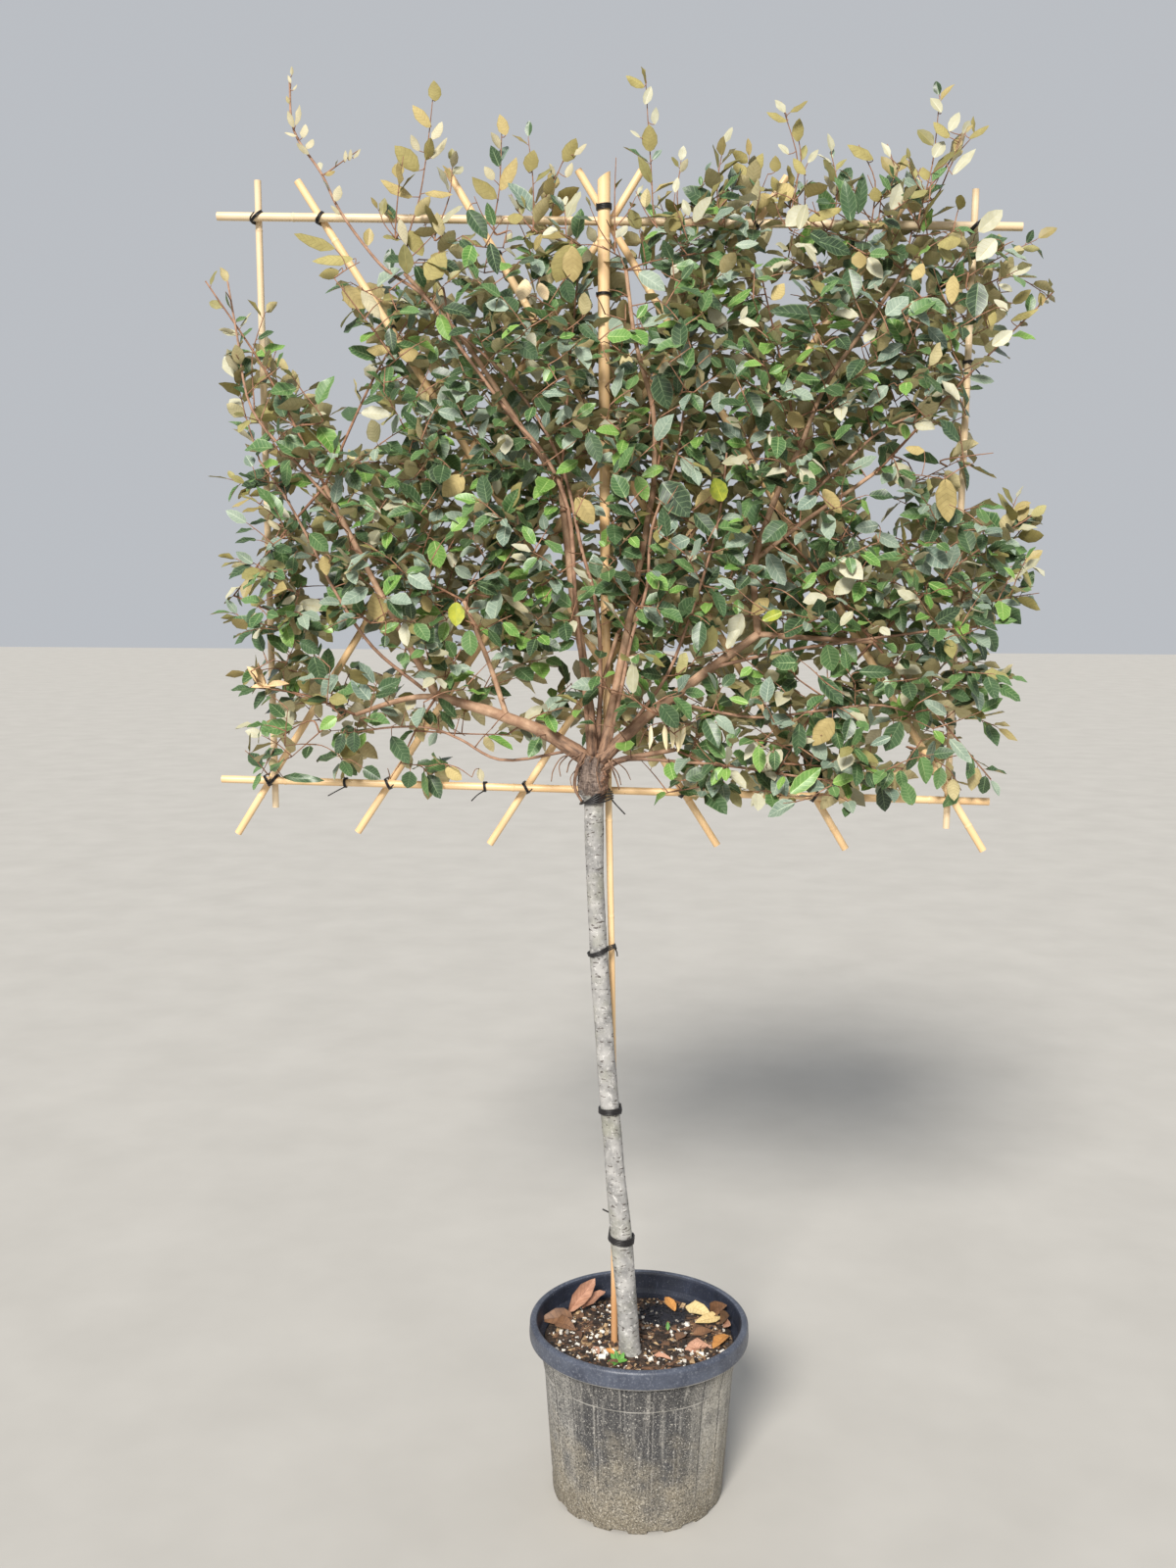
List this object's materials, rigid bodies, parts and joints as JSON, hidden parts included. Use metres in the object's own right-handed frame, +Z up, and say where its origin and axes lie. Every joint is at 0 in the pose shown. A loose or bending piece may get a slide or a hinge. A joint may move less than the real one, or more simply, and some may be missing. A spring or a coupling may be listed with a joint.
{
  "type": "potted espalier elaeagnus",
  "caption": "Potted espalier elaeagnus: a tall bare trunk in a round pot, with a flat leafy crown trained on a lattice of bamboo canes.",
  "frame": {"origin": "centre of the pot's flat underside", "axes": "+Z up, +X to the right along the lattice, +Y away from its front"},
  "size_m": [1.5799, 0.452, 2.8238],
  "materials": {
    "pot": "dusty matt plastic with dried mud",
    "soil": "loose bark and wood chips",
    "bark": "smooth grey bark with pale lichen",
    "bough": "brown young bark",
    "cane": "smooth waxy bamboo",
    "wire": "black coated wire",
    "foliage": "leathery evergreen leaves"
  },
  "bodies": {
    "root": {"bough_centre": "bough", "bough_centre_left": "bough", "bough_centre_right": "bough", "bough_far_right": "bough", "bough_left": "bough", "bough_left_foot": "bough", "bough_left_inner": "bough", "bough_left_rising": "bough", "bough_right": "bough", "bough_right_foot": "bough", "bough_right_outer": "bough", "bough_right_rising": "bough", "bough_top_centre": "bough", "bough_top_left": "bough", "bough_top_right": "bough", "cane_bar_bottom": "cane", "cane_bar_top": "cane", "cane_centre": "cane", "cane_falling_left": "cane", "cane_falling_middle": "cane", "cane_falling_right": "cane", "cane_rising_left": "cane", "cane_rising_middle": "cane", "cane_rising_right": "cane", "cane_upright_left": "cane", "cane_upright_right": "cane", "foliage_centre": "foliage", "foliage_centre_crest": "foliage", "foliage_centre_high": "foliage", "foliage_centre_left": "foliage", "foliage_centre_left_crest": "foliage", "foliage_centre_left_high": "foliage", "foliage_far_right_crest": "foliage", "foliage_far_right_foot": "foliage", "foliage_far_right_high": "foliage", "foliage_far_right_middle": "foliage", "foliage_inner_crest": "foliage", "foliage_left_crest": "foliage", "foliage_left_foot": "foliage", "foliage_left_high": "foliage", "foliage_left_inner": "foliage", "foliage_left_inner_foot": "foliage", "foliage_left_inner_high": "foliage", "foliage_left_middle": "foliage", "foliage_right_crest": "foliage", "foliage_right_foot": "foliage", "foliage_right_high": "foliage", "foliage_right_low": "foliage", "foliage_right_middle": "foliage", "pot": "pot", "soil": "soil", "tie_bottom_left": "wire", "tie_knob": "wire", "tie_top_inner": "wire", "tie_top_left": "wire", "tie_top_right": "wire", "tie_trunk_high": "wire", "tie_trunk_low": "wire", "tie_trunk_middle": "wire", "trunk": "bark"}
  },
  "joints": []
}
